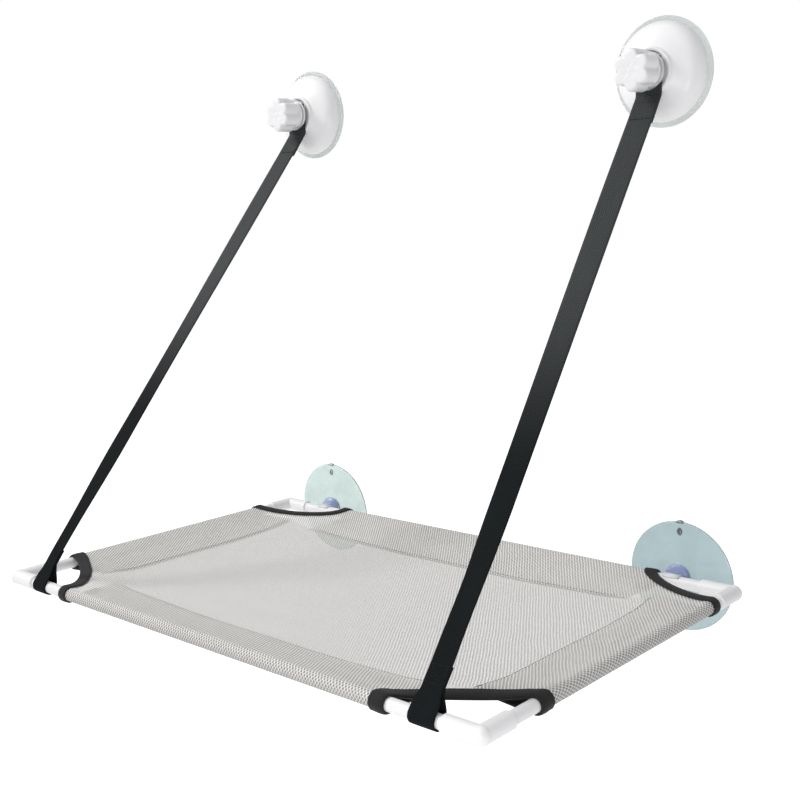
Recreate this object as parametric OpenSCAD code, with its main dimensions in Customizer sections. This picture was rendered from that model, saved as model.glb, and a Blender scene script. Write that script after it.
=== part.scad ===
// Window mounted cat perch.
// A mesh sling on a tube frame hangs from two webbing straps and leans on the glass.
// Two screw suction mounts hold the straps, and two clip suction mounts hold the back tube.
// X runs along the window, +Y points into the glass and Z is up.
// The window plane is y = 0, and the origin lies midway between the two lower cups.

/* [Frame] */
// Overall width of the frame along the window
frame_w = 550; // [420:1:700]
// Overall depth of the frame, from its back corners to its front corners
frame_d = 350; // [280:1:450]
// Outer diameter of the frame tubes
tube_d = 10; // [8:0.5:13]
// Wall of the frame tubes
tube_wall = 1.2; // [0.8:0.1:2]
// Wall of the corner elbows round the tubes
elbow_wall = 1.5; // [1:0.1:2.5]
// Length of an elbow arm, from the crossing of the tube axes to its mouth
elbow_arm = 29; // [22:1:40]
// Solid part of an elbow, from the crossing of the tube axes to the tube's end
elbow_core = 8; // [7:0.5:12]
// Height of the front tube above the back tube
front_rise = 12.8; // [0:0.1:40]
// Distance from the window to the axis of the back tube
tube_off = 16.5; // [15:0.1:24]

/* [Sling] */
// Thickness of the mesh cloth
cloth_t = 1; // [0.6:0.1:1.6]
// Width of a hem, from the tube's axis to its seam
hem_w = 52; // [34:1:60]
// How far the middle of the sling hangs below the tube axes
sag = 14; // [2:1:40]
// Length of front tube left bare at each end, from the corner of the axes
front_cut_w = 76; // [70:1:110]
// Length of side tube left bare at the front, from the corner of the axes
front_cut_d = 56; // [40:1:90]
// Length of back tube left bare at each end, from the corner of the axes
back_cut_w = 82; // [76:1:110]
// Length of side tube left bare at the back, from the corner of the axes
back_cut_d = 42; // [40:1:90]
// Width of the binding tape
tape_w = 11; // [6:0.5:14]
// How far the binding tape stands proud of the cloth on each side
tape_t = 0.8; // [0.3:0.1:1]

/* [Straps] */
// Width of the strap webbing
strap_w = 22; // [18:1:26]
// Thickness of the strap webbing
strap_t = 1.4; // [1:0.1:2]
// Bare tube between a strap's loop and the front elbow
strap_gap = 3.5; // [1:0.5:8]
// Length of the sewn tail above the front tube
tail_len = 34; // [24:1:50]
// Length of the stitching that closes the loop within that tail
stitch_len = 14; // [8:1:18]
// Length of the folded top end below the hub
fold_len = 26; // [10:1:50]

/* [Upper suction mounts] */
// Distance from the side of the frame to the centre of the upper mount above it
upper_inset = 72; // [60:1:120]
// Height of the upper mounts above the lower ones
upper_height = 422; // [380:1:520]
// Diameter of the upper suction cups
upper_cup_d = 87; // [80:1:110]
// Diameter of the covers on the upper cups
cover_d = 79; // [70:1:84]
// Distance from the window to the top of a cover's hub ring
cover_h = 23; // [19:0.5:28]
// Wall of a cover
cover_wall = 2; // [1.5:0.1:3]
// Outer diameter of a cover's hub ring
hub_d = 37; // [30:1:44]
// Diameter of the threaded studs
stud_d = 8; // [6:0.5:10]
// Diameter of the washers under the knobs
washer_d = 30; // [22:1:32]
// Thickness of those washers
washer_t = 1.5; // [1:0.1:2.5]
// Diameter of the knobs over their lobes
knob_d = 33; // [30:1:44]
// Height of the lobed part of a knob
knob_h = 18; // [13:0.5:24]
// Height of a knob's collar, from the washer to the lobes
collar_h = 6; // [4:0.5:10]

/* [Lower suction mounts] */
// Distance from the side of the frame to the centre of the lower mount behind it
lower_inset = 63; // [55:1:75]
// Diameter of the lower suction cups
lower_cup_d = 97; // [84:1:110]
// Width of a tube clip along the tube
clip_w = 19; // [8:1:22]
// Wall of a tube clip round the tube
clip_wall = 3; // [2:0.25:4]
// Diameter of a clip's round foot
clip_foot_d = 25; // [18:1:30]
// Width of a clip's mouth, as a share of the tube's diameter
clip_mouth_share = 0.8; // [0.6:0.05:0.9]

/* [Hidden] */
$fn = 48;

// Clearance of a fit between a tube and its socket, a stud and its bore or a tube and its clip
fit = 0.05;
// Clearance between pieces that lie on each other
lie = 0.3;
// Overrun of a cut past the face that it opens
over = 1;

// Frame
tube_r = tube_d / 2;
elbow_r = tube_r + fit + elbow_wall;
ball_proud = 0.3;
ball_r = elbow_r + ball_proud;
// The ball's seam faces the outer corner, away from both arms
ball_turn = 225;
mouth_chamfer = 0.6;
half_w = frame_w / 2 - ball_r;
upper_x = frame_w / 2 - upper_inset;
lower_x = frame_w / 2 - lower_inset;
axis_d = frame_d - 2 * ball_r;
half_d = axis_d / 2;
tilt = asin(front_rise / axis_d);

// Sling
sleeve_r = tube_r + lie;
skin_r = sleeve_r + cloth_t;
sag_power = 2.4;
sheet_gap = 0.1;
hook_share = 0.3;
hook_tape_share = 0.57;
chord_shares = [0.25, 0.75];
cut_steps = 6;
mid_rows = 8;
column_shares = [-1, -0.93, -0.8, -0.62, -0.42, -0.21, 0, 0.21, 0.42, 0.62, 0.8, 0.93, 1];
hem_steps = 10;
arc_steps = 12;

// Straps
loop_in = tube_r + lie;
loop_out = loop_in + strap_t;
loop_x = half_w - elbow_arm - strap_gap - strap_w / 2;
loop_steps = 16;
strap_lay = cover_h + lie;
strap_top_y = -(strap_lay + 2 * strap_t);
bend_clear = 1;
bend_drop = hub_d / 2 + bend_clear;
front_y = -(tube_off + axis_d * cos(tilt));

// The strap's outer face is a line from the bend under the hub to its tangent on the loop
bend_z = upper_height - bend_drop;
run_chord = norm([front_y - strap_top_y, front_rise - bend_z]);
run_turn = asin(loop_out / run_chord);
run_lean = atan2(strap_top_y - front_y, bend_z - front_rise) + run_turn;
run_len = run_chord * cos(run_turn);
free_len = run_len - tail_len;
run_slant = atan((loop_x - upper_x) / free_len);

// Upper mounts
stud_r = stud_d / 2;
upper_r = upper_cup_d / 2;
cover_r = cover_d / 2;
hub_r = hub_d / 2;
rim_t = 1.6;
cup_mid_share = 0.68;
upper_mid_t = 3.4;
chamber_h = 1.6;
boss_wall = 6;
boss_r = stud_r + boss_wall;
stud_head_lip = 3;
stud_head_r = stud_r + stud_head_lip;
stud_head_t = 2.5;
boss_floor = 3;
boss_h = upper_mid_t + boss_floor + stud_head_t + boss_floor;
skirt_h = 1.5;
shoulder_share = [0.925, 0.42];
cone_share = 0.3;
hub_ring_h = 2.6;
hub_ring_w = 3;
dome_steps = 6;
washer_lay = strap_lay + 2 * strap_t + lie;
knob_lay = washer_lay + washer_t + lie;
knob_r = knob_d / 2;
lobe_r = 6;
lobes = 6;
knob_core_share = 0.77;
crown_h = 3.5;
crown_steps = 5;
collar_wall = 7;
collar_r = stud_r + collar_wall;
knob_face_t = 3;
stud_tip = 2.4;
insert_wall = 2.5;
insert_flats = stud_d + 2 * insert_wall;
insert_h = 7;
stud_top = knob_lay + collar_h + knob_h - knob_face_t - stud_tip;

// Lower mounts
lower_r = lower_cup_d / 2;
lower_mid_t = 4;
lower_boss_r = 11;
lower_boss_h = 5.6;
neck_r = 3.5;
neck_h = 1.6;
head_r = 5;
head_h = 1.6;
foot_t = 3.6;
clip_r = tube_r + fit + clip_wall;
web_h = 14;
tab_w = 9;
tab_t = 1.4;
tab_in = 17;
tab_out = 1.6;
tab_hole_w = 4;
tab_hole_l = 6.6;

// Places children given as (x, distance in front of the back tube, height) on the tilted frame
module framed() {
    translate([0, -tube_off, 0]) rotate([-tilt, 0, 0]) children();
}

// Places children on the window at (x, z), with their own +Z pointing into the room
module on_window(x, z) {
    translate([x, 0, z]) rotate([90, 0, 0]) children();
}

// Turns a solid along +Z to lie along +X or along +Y
module along_x() {
    rotate([0, 90, 0]) children();
}
module along_y() {
    rotate([-90, 0, 0]) children();
}

// Hollow tube of a given length along +Z, centred on its middle
module tube(len) {
    difference() {
        cylinder(r = tube_r, h = len, center = true);
        cylinder(r = tube_r - tube_wall, h = len + 2 * over, center = true);
    }
}

module frame_tube_x(d) {
    color("white") framed() translate([0, -d, 0]) along_x() tube(2 * (half_w - elbow_core - fit));
}
module frame_tube_y(side) {
    color("white") framed() translate([side * half_w, -half_d, 0]) along_y()
        tube(2 * (half_d - elbow_core - fit));
}

module elbow_arm_body() {
    rotate_extrude() polygon([[0, 0], [elbow_r, 0], [elbow_r, elbow_arm - mouth_chamfer],
        [elbow_r - mouth_chamfer, elbow_arm], [0, elbow_arm]]);
}
module elbow_socket() {
    translate([0, 0, elbow_core]) cylinder(r = tube_r + fit, h = elbow_arm);
}

// Corner elbow with one arm along +X and one along +Y
module elbow_body() {
    difference() {
        union() {
            along_x() elbow_arm_body();
            along_y() elbow_arm_body();
            rotate([0, 0, ball_turn]) sphere(r = ball_r);
        }
        along_x() elbow_socket();
        along_y() elbow_socket();
    }
}
module elbow(side, d) {
    inward = d > 0 ? 0 : 1;
    color("whitesmoke") framed() translate([side * half_w, -d, 0])
        mirror([side > 0 ? 1 : 0, 0, 0]) mirror([0, inward, 0]) elbow_body();
}

// Edge of a corner cut, as distances inward from the corner of the tube axes.
// It leaves both tubes square and is drawn in by the tape's width for the tape's inner edge.
function bezier(p, t) = p[0] * pow(1 - t, 3) + p[1] * 3 * t * pow(1 - t, 2)
    + p[2] * 3 * t * t * (1 - t) + p[3] * pow(t, 3);
function cut_edge(cut_w, cut_d, in, t) =
    let (hook = hook_share * (cut_w + cut_d) / 2 + hook_tape_share * in)
    bezier([[cut_w + in, 0], [cut_w + in, hook], [hook, cut_d + in], [0, cut_d + in]], t);

// Signed distance from the chord of a corner cut, positive towards the middle of the sling
function chord_u(cut_w, cut_d, a, b) = let (p = cut_edge(cut_w, cut_d, 0, chord_shares[0]),
    q = cut_edge(cut_w, cut_d, 0, chord_shares[1]), v = q - p)
    ((a - p[0]) * v[1] - (b - p[1]) * v[0]) / norm(v);

// Height of the sling's upper face above the tube axes, at x and at a distance d from the back tube
function edge_u(x, d) = min(half_w - abs(x), d, axis_d - d,
    max(0, chord_u(front_cut_w, front_cut_d, half_w - abs(x), axis_d - d)),
    max(0, chord_u(back_cut_w, back_cut_d, half_w - abs(x), d)));
function sag_z(x, d) = -sag * (1 - pow(min(1, abs(x) / half_w), sag_power))
    * (1 - pow(min(1, abs(d - half_d) / half_d), sag_power));
function sling_z(x, d) = skin_r * max(0, 1 - max(0, edge_u(x, d)) / hem_w) + sag_z(x, d);

// Sheet solid between an upper and a lower grid of points, each a list of rows.
// Where the points were mirrored, turned is -1 and every face runs the other way round.
function turn_faces(faces, turned) = turned > 0 ? faces :
    [for (f = faces) [for (k = [len(f) - 1:-1:0]) f[k]]];
module sheet(top, bottom, turned) {
    rows = len(top);
    cols = len(top[0]);
    n = rows * cols;
    pts = concat([for (r = top) for (p = r) p], [for (r = bottom) for (p = r) p]);
    up = [for (i = [0:rows - 2]) for (j = [0:cols - 2]) let (a = i * cols + j)
        for (f = [[a, a + cols, a + cols + 1], [a, a + cols + 1, a + 1]]) f];
    down = [for (f = up) [f[2] + n, f[1] + n, f[0] + n]];
    rim = concat([for (j = [0:cols - 2]) j], [for (i = [0:rows - 2]) i * cols + cols - 1],
        [for (j = [cols - 1:-1:1]) (rows - 1) * cols + j], [for (i = [rows - 1:-1:1]) i * cols]);
    m = len(rim);
    sides = [for (k = [0:m - 1]) let (a = rim[k], b = rim[(k + 1) % m])
        for (f = [[a, b, b + n], [a, b + n, a + n]]) f];
    polyhedron(points = pts, faces = turn_faces(concat(up, down, sides), turned));
}

// Rows of the sheet: the places where it ends along the cuts, then even rows between them
function front_row(t) = let (c = cut_edge(front_cut_w, front_cut_d, tape_w + sheet_gap, t))
    [axis_d - max(sheet_gap, c[1]), half_w - max(sheet_gap, c[0])];
function back_row(t) = let (c = cut_edge(back_cut_w, back_cut_d, tape_w + sheet_gap, t))
    [max(sheet_gap, c[1]), half_w - max(sheet_gap, c[0])];
sheet_rows = concat([for (k = [0:cut_steps]) front_row(k / cut_steps)],
    [for (k = [1:mid_rows - 1]) let (f = front_row(1), b = back_row(1))
        [f[0] + (b[0] - f[0]) * k / mid_rows, f[1]]],
    [for (k = [cut_steps:-1:0]) back_row(k / cut_steps)]);

module sling_panel() {
    top = [for (r = sheet_rows) [for (s = column_shares) [s * r[1], -r[0], sling_z(s * r[1], r[0])]]];
    bottom = [for (r = top) [for (p = r) p - [0, 0, cloth_t]]];
    color("silver") framed() sheet(top, bottom, 1);
}

// Solid through a list of closed loops with equal counts of points, each loop flat
module loft(loops, turned) {
    n = len(loops[0]);
    m = len(loops);
    sides = [for (i = [0:m - 2]) for (j = [0:n - 1]) let (a = i * n + j, b = i * n + (j + 1) % n)
        for (f = [[a, b + n, b], [a, a + n, b + n]]) f];
    first = [for (j = [0:n - 1]) j];
    last = [for (j = [n - 1:-1:0]) (m - 1) * n + j];
    polyhedron(points = [for (l = loops) for (p = l) p],
        faces = turn_faces(concat(sides, [first, last]), turned));
}

// Points round the outer half of a tube, from its top to its underside
function outer_arc(r) = [for (k = [0:arc_steps]) let (a = 90 + 180 * k / arc_steps) r * [cos(a), sin(a)]];

// Sleeve round a tube and the hem folded under from it to the seam.
// Its own x runs along the tube, inward is along its own y times way, and z is up.
module sleeve(half_len, seam_z, way) {
    outer = outer_arc(skin_r);
    inner = outer_arc(sleeve_r);
    loft([for (k = [0:hem_steps])
        let (x = half_len * (2 * k / hem_steps - 1), z = seam_z[k] - cloth_t - sheet_gap)
        concat([for (p = outer) [x, way * p[0], p[1]]], [[x, way * hem_w, z - cloth_t], [x, way * hem_w, z]],
            [for (j = [arc_steps:-1:0]) [x, way * inner[j][0], inner[j][1]]])], way);
}
module sleeve_x(d, cut_w) {
    len = half_w - cut_w - tape_w - sheet_gap;
    way = d > 0 ? 1 : -1;
    seam_z = [for (k = [0:hem_steps]) sling_z(len * (2 * k / hem_steps - 1), d - way * hem_w)];
    color("silver") framed() translate([0, -d, 0]) sleeve(len, seam_z, way);
}
module sleeve_y(side) {
    low_d = back_cut_d + tape_w + sheet_gap;
    len = (axis_d - front_cut_d - tape_w - sheet_gap - low_d) / 2;
    mid = low_d + len;
    seam_z = [for (k = [0:hem_steps]) sling_z(half_w - hem_w, mid - len * (2 * k / hem_steps - 1))];
    color("silver") framed() translate([side * half_w, -mid, 0]) rotate([0, 0, 90]) sleeve(len, seam_z, side);
}

// Binding tape of one corner: it wraps both sleeves' ends and follows the cut between them.
// Its points count inward from the corner of the axes, (1, 1) being the front left corner.
function tape_low(t) = t > 0 && t < 1 ? cloth_t + 2 * tape_t : cloth_t + tape_t;
function cuff_w(r, x0, arc) = [for (k = [arc_steps:-1:1]) [for (x = [x0, x0 + tape_w])
    [x, r * arc[k][0], r * arc[k][1]]]];
function cuff_d(r, y0, arc) = [for (k = [1:arc_steps]) [for (y = [y0, y0 + tape_w])
    [r * arc[k][0], y, r * arc[k][1]]]];
function strip(d, way, cut_w, cut_d, low) = [for (k = [0:cut_steps]) let (t = k / cut_steps)
    [for (in = [0, tape_w]) let (c = cut_edge(cut_w, cut_d, in, t))
        [c[0], c[1], sling_z(half_w - c[0], d - way * c[1]) + tape_t - low * tape_low(t)]]];
module binding(side, d, cut_w, cut_d) {
    arc = outer_arc(1);
    way = d > 0 ? 1 : -1;
    placed = [-side, way, 1];
    layers = [for (low = [0, 1]) let (r = low > 0 ? sleeve_r : skin_r + tape_t)
        concat(cuff_w(r, cut_w, arc), strip(d, way, cut_w, cut_d, low), cuff_d(r, cut_d, arc))];
    solid = [for (l = layers) [for (row = l) [for (p = row) [for (k = [0:2]) placed[k] * p[k]]]]];
    color("black") framed() translate([side * half_w, -d, 0]) sheet(solid[0], solid[1], -side * way);
}

// Strap from the stud to just above the sewn tail of its loop
module strap(side) {
    slack = lie + strap_w / 2 * sin(abs(run_slant));
    color("dimgray") {
        on_window(side * upper_x, upper_height) translate([0, 0, strap_lay])
            linear_extrude(2 * strap_t) difference() {
                union() {
                    circle(d = strap_w);
                    translate([-strap_w / 2, -bend_drop]) square([strap_w, bend_drop]);
                }
                circle(r = stud_r + lie);
            }
        translate([side * upper_x, strap_top_y, bend_z]) rotate([-run_lean, 0, 0])
            rotate([0, -side * run_slant, 0]) {
                translate([-strap_w / 2, 0, slack - free_len / cos(run_slant)])
                    cube([strap_w, strap_t, free_len / cos(run_slant) - slack]);
                translate([-strap_w / 2, 0, -fold_len]) cube([strap_w, 2 * strap_t, fold_len]);
            }
    }
}

// Sewn loop round the front tube, drawn with the strap going up along +Y and the room at -X
function tangent_turn(p, r) = atan2(p[1], p[0]) + 360 - acos(r / norm(p));
function loop_side(r, p) = concat([[-r, 0]], [for (k = [1:loop_steps])
    let (a = 180 + (tangent_turn(p, r) - 180) * k / loop_steps) r * [cos(a), sin(a)]], [p]);
module strap_loop(side) {
    part_y = tail_len - stitch_len;
    back_x = 2 * strap_t - loop_out;
    color("dimgray") translate([side * loop_x, front_y, front_rise]) rotate([-run_lean, 0, 0])
        rotate([90, 0, 90]) linear_extrude(strap_w, center = true) difference() {
            polygon(concat([[-loop_out, tail_len]], loop_side(loop_out, [back_x, part_y]),
                [[back_x, tail_len]]));
            polygon(loop_side(loop_in, [-loop_in, part_y]));
        }
}

// Height of a cup's upper face at radius r, falling from the middle part to the rim
function cup_top(cup_r, mid_t, r) = let (mid_r = cup_mid_share * cup_r)
    r < mid_r ? mid_t : mid_t - (mid_t - rim_t) * (r - mid_r) / (cup_r - mid_r);

// Suction cup: flat sealing face at z = 0 with a shallow vacuum chamber inside it
module cup_body(cup_r, mid_t, post_r, post_h) {
    mid_r = cup_mid_share * cup_r;
    rotate_extrude($fn = 96) polygon([[0, chamber_h], [mid_r - 2 * chamber_h, chamber_h], [mid_r, 0],
        [cup_r, 0], [cup_r, rim_t], [mid_r, mid_t], [post_r, mid_t], [post_r, post_h], [0, post_h]]);
}

// Stud with the flat head that is moulded into the cup's boss
module stud_body() {
    translate([0, 0, upper_mid_t + boss_floor]) {
        cylinder(r = stud_head_r, h = stud_head_t);
        cylinder(r = stud_r, h = stud_top - upper_mid_t - boss_floor);
    }
}
module upper_cup(side) {
    color([0.8, 0.87, 0.86]) on_window(side * upper_x, upper_height) difference() {
        cup_body(upper_r, upper_mid_t, boss_r, boss_h);
        stud_body();
    }
}
module upper_stud(side) {
    color("lightgray") on_window(side * upper_x, upper_height) stud_body();
}

// Cover: a skirt, a rounded shoulder, a cone and a hub ring that carries the strap's end.
// The shoulder is a curve from the skirt to a point on the cone.
function arch(a, b, c, t) = a * pow(1 - t, 2) + b * 2 * t * (1 - t) + c * t * t;
function dome(skirt_top, shoulder, hub) = concat(
    [for (k = [0:dome_steps])
        arch(skirt_top, shoulder, shoulder + cone_share * (hub - shoulder), k / dome_steps)],
    [hub]);
module upper_cover(side) {
    foot_z = cup_top(upper_r, upper_mid_t, cover_r - cover_wall) + sheet_gap;
    floor_h = cover_h - hub_ring_h;
    shoulder = [shoulder_share[0] * cover_r, shoulder_share[1] * cover_h];
    outer = dome([cover_r, foot_z + skirt_h], shoulder, [hub_r, floor_h]);
    ring = [[hub_r, cover_h], [hub_r - hub_ring_w, cover_h], [hub_r - hub_ring_w, floor_h],
        [stud_r + fit, floor_h], [stud_r + fit, floor_h - cover_wall]];
    inner = dome([cover_r - cover_wall, foot_z + skirt_h], shoulder - [cover_wall, cover_wall],
        [hub_r, floor_h - cover_wall]);
    color("white") on_window(side * upper_x, upper_height) rotate_extrude($fn = 96)
        polygon(concat([[cover_r, foot_z]], outer, ring, [for (k = [len(inner) - 1:-1:0]) inner[k]],
            [[cover_r - cover_wall, foot_z]]));
}

module upper_washer(side) {
    color("silver") on_window(side * upper_x, upper_height) translate([0, 0, washer_lay])
        difference() {
            cylinder(d = washer_d, h = washer_t);
            translate([0, 0, -over]) cylinder(r = stud_r + fit, h = washer_t + 2 * over);
        }
}

// Threaded insert with six flats, and the knob that is moulded round it
module insert_hex() {
    translate([0, 0, knob_lay]) cylinder(d = insert_flats / cos(180 / lobes), h = insert_h, $fn = 6);
}
module upper_insert(side) {
    color("goldenrod") on_window(side * upper_x, upper_height) difference() {
        insert_hex();
        translate([0, 0, knob_lay - over]) cylinder(r = stud_r + fit, h = insert_h + 2 * over);
    }
}
module upper_knob(side) {
    crown = [for (k = [0:crown_steps]) let (a = 90 * k / crown_steps)
        [knob_r - crown_h + crown_h * cos(a), knob_h - crown_h + crown_h * sin(a)]];
    color("white") on_window(side * upper_x, upper_height) difference() {
        union() {
            translate([0, 0, knob_lay]) cylinder(r = collar_r, h = collar_h + over);
            translate([0, 0, knob_lay + collar_h]) intersection() {
                linear_extrude(knob_h) {
                    circle(r = knob_core_share * knob_r);
                    for (k = [0:lobes - 1]) rotate(360 * k / lobes) translate([0, knob_r - lobe_r])
                        circle(r = lobe_r);
                }
                rotate_extrude() polygon(concat([[0, 0], [knob_r, 0]], crown, [[0, knob_h]]));
            }
        }
        insert_hex();
        translate([0, 0, knob_lay]) cylinder(r = stud_r + fit, h = collar_h + knob_h - knob_face_t);
    }
}

// Lower cup with a mushroom head on its boss and a pull tab with a hole near its top edge
module lower_cup(side) {
    color([0.72, 0.82, 0.84]) on_window(side * lower_x, 0) {
        cup_body(lower_r, lower_mid_t, lower_boss_r, lower_boss_h);
        translate([0, 0, lower_boss_h - over]) cylinder(r = neck_r, h = neck_h + over);
        translate([0, 0, lower_boss_h + neck_h]) cylinder(r = head_r, h = head_h);
        translate([0, 0, lower_mid_t - tab_t]) linear_extrude(tab_t) difference() {
            union() {
                translate([-tab_w / 2, lower_r - tab_in]) square([tab_w, tab_in + tab_out - tab_w / 2]);
                translate([0, lower_r + tab_out - tab_w / 2]) circle(d = tab_w);
            }
            for (v = [-1, 1]) translate([0, lower_r - tab_in / 2 + v * (tab_hole_l - tab_hole_w) / 2])
                circle(d = tab_hole_w);
            translate([-tab_hole_w / 2, lower_r - (tab_in + tab_hole_l - tab_hole_w) / 2])
                square([tab_hole_w, tab_hole_l - tab_hole_w]);
        }
    }
}

// Snap clip: a round foot on the cup's head and two jaws round the back tube
module lower_clip(side) {
    foot_z = lower_boss_h + sheet_gap;
    mouth = clip_mouth_share * tube_d;
    color("slateblue") on_window(side * lower_x, 0) difference() {
        union() {
            translate([0, 0, foot_z]) cylinder(d = clip_foot_d, h = foot_t);
            translate([-clip_w / 2, -web_h / 2, foot_z + foot_t / 2])
                cube([clip_w, web_h, tube_off - foot_z - foot_t / 2]);
            translate([-clip_w / 2, 0, tube_off]) along_x() cylinder(r = clip_r, h = clip_w);
        }
        translate([-clip_w / 2 - over, 0, tube_off]) along_x()
            cylinder(r = tube_r + fit, h = clip_w + 2 * over);
        translate([-clip_w / 2 - over, -mouth / 2, tube_off]) cube([clip_w + 2 * over, mouth, clip_r + over]);
        translate([0, 0, foot_z - over]) cylinder(r = neck_r + fit, h = neck_h + over);
        translate([0, 0, lower_boss_h + neck_h - fit]) cylinder(r = head_r + fit, h = head_h + 2 * fit);
    }
}

frame_tube_x(axis_d);  // front_tube
frame_tube_x(0);  // back_tube
frame_tube_y(-1);  // left_tube
frame_tube_y(1);  // right_tube
elbow(-1, axis_d);  // front_left_elbow
elbow(1, axis_d);  // front_right_elbow
elbow(-1, 0);  // back_left_elbow
elbow(1, 0);  // back_right_elbow
sling_panel();
sleeve_x(axis_d, front_cut_w);  // front_sleeve
sleeve_x(0, back_cut_w);  // back_sleeve
sleeve_y(-1);  // left_sleeve
sleeve_y(1);  // right_sleeve
binding(-1, axis_d, front_cut_w, front_cut_d);  // front_left_binding
binding(1, axis_d, front_cut_w, front_cut_d);  // front_right_binding
binding(-1, 0, back_cut_w, back_cut_d);  // back_left_binding
binding(1, 0, back_cut_w, back_cut_d);  // back_right_binding
strap(-1);  // left_strap
strap(1);  // right_strap
strap_loop(-1);  // left_strap_loop
strap_loop(1);  // right_strap_loop
upper_cup(-1);  // upper_left_cup
upper_cup(1);  // upper_right_cup
upper_stud(-1);  // upper_left_stud
upper_stud(1);  // upper_right_stud
upper_cover(-1);  // upper_left_cover
upper_cover(1);  // upper_right_cover
upper_washer(-1);  // upper_left_washer
upper_washer(1);  // upper_right_washer
upper_knob(-1);  // upper_left_knob
upper_knob(1);  // upper_right_knob
upper_insert(-1);  // upper_left_insert
upper_insert(1);  // upper_right_insert
lower_cup(-1);  // lower_left_cup
lower_cup(1);  // lower_right_cup
lower_clip(-1);  // lower_left_clip
lower_clip(1);  // lower_right_clip
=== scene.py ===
from math import acos, asin, atan, atan2, cos, hypot, pi, radians, sin, tan

import bmesh
import bpy
import numpy as np
from mathutils import Matrix, Vector


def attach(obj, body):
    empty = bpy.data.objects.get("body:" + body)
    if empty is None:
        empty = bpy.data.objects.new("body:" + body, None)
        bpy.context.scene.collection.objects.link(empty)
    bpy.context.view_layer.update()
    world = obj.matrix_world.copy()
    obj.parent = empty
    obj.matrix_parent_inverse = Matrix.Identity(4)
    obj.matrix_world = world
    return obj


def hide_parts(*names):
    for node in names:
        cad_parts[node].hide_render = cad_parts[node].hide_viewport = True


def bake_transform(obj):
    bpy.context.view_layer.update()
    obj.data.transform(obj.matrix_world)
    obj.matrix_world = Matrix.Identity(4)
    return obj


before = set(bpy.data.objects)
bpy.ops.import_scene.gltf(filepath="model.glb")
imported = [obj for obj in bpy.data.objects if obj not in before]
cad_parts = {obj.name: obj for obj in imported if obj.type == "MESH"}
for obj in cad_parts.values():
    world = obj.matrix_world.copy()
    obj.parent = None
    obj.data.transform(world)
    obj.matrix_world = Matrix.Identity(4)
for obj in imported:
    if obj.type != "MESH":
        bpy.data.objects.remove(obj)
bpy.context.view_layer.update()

# Sizes in millimetres, as in the part's source
MM = 0.001
TINY = 1e-6
# the back tube's axis from the window, the frame between the tubes' axes, and how much higher the front is
TUBE_OFF, AXIS_D, HALF_W, RISE = 16.5, 336.3, 268.15, 12.8
HALF_D = AXIS_D / 2
TILT = asin(RISE / AXIS_D)
# the hems' width, the sag in the middle and the power of its curve
HEM, SAG, POWER = 52.0, 14.0, 2.4
# corner cuts: width, depth, and how far the curve bows into the cloth as a share of their mean
FRONT_CUT = (76.0, 56.0, 0.3)
BACK_CUTS = {-1: (85.0, 42.0, 0.3), 1: (70.0, 36.0, 0.2)}
# the tape's width, from a tube's axis to the cloth's middle round it, and half the cloth's thickness
TAPE_W, SKIN, HALF_CLOTH = 11.0, 5.8, 0.5
# the mounts' places, and the strap loops' place on the front tube
UPPER_X, UPPER_Z, LOWER_X = 203.0, 422.0, 212.0
LOOP_X = 224.65
SIDES = {"left": -1, "right": 1}


# Shapes


def framed(x, d, h):
    """Row-frame places of points on the frame's tilted plane: d from the back tube, h above the plane."""
    x, d, h = np.broadcast_arrays(x, d, h)
    c, s = cos(TILT), sin(TILT)
    return np.stack([x, -TUBE_OFF - d * c + h * s, d * s + h * c], -1).astype(float)


def bezier(p, t):
    t = np.asarray(t, float)[..., None]
    p = np.asarray(p, float)
    return p[0] * (1 - t) ** 3 + p[1] * 3 * t * (1 - t) ** 2 + p[2] * 3 * t * t * (1 - t) + p[3] * t**3


# moves the curve's handles with an inset edge, so that it stays parallel to the cut
INSET_HOOK = 0.57


def cut_edge(cut, inward, t):
    """Edge of a corner cut, as distances inward from the corner of the tube axes."""
    w, d, bow = cut
    hook = bow * (w + d) / 2 + INSET_HOOK * inward
    return bezier([[w + inward, 0], [w + inward, hook], [hook, d + inward], [0, d + inward]], t)


def chord(cut, a, b):
    """Distance from a line through the middle of a cut's edge, inward."""
    p, q = cut_edge(cut, 0, 0.25), cut_edge(cut, 0, 0.75)
    v = q - p
    return ((a - p[0]) * v[1] - (b - p[1]) * v[0]) / np.hypot(*v)


def ramp(value, start, end):
    """0 at start and before it, 1 at end and beyond it."""
    return np.clip((value - start) / (end - start), 0, 1)


def eased(share):
    return share * share * (3 - 2 * share)


def pairs(across, along):
    """Flat coordinates of a grid with these columns and rows."""
    return np.stack(np.meshgrid(across, along), -1)


def sag(x, d):
    """Height of the sagging cloth over the tubes' plane, without its waves."""
    across = 1 - np.minimum(1, np.abs(x) / HALF_W) ** POWER
    along = 1 - np.minimum(1, np.abs(d - HALF_D) / HALF_D) ** POWER
    return -SAG * across * along


def edge(x, d):
    """Distance to the nearest tube or cut."""
    a = HALF_W - np.abs(x)
    back = np.where(np.asarray(x) > 0, chord(BACK_CUTS[1], a, d), chord(BACK_CUTS[-1], a, d))
    cuts = np.minimum(np.maximum(0, chord(FRONT_CUT, a, AXIS_D - d)), np.maximum(0, back))
    return np.maximum(0, np.minimum(np.minimum(a, cuts), np.minimum(d, AXIS_D - d)))


# cut edges that curl down between the tubes: side, at the front, cut, and how far the middle curls down
CURLS = (
    (1, True, FRONT_CUT, 5.0),
    (-1, True, FRONT_CUT, 1.0),
    (1, False, BACK_CUTS[1], 2.0),
    (-1, False, BACK_CUTS[-1], 1.5),
)
# how far in from the edge the curl starts
CURL_IN = 12


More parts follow.
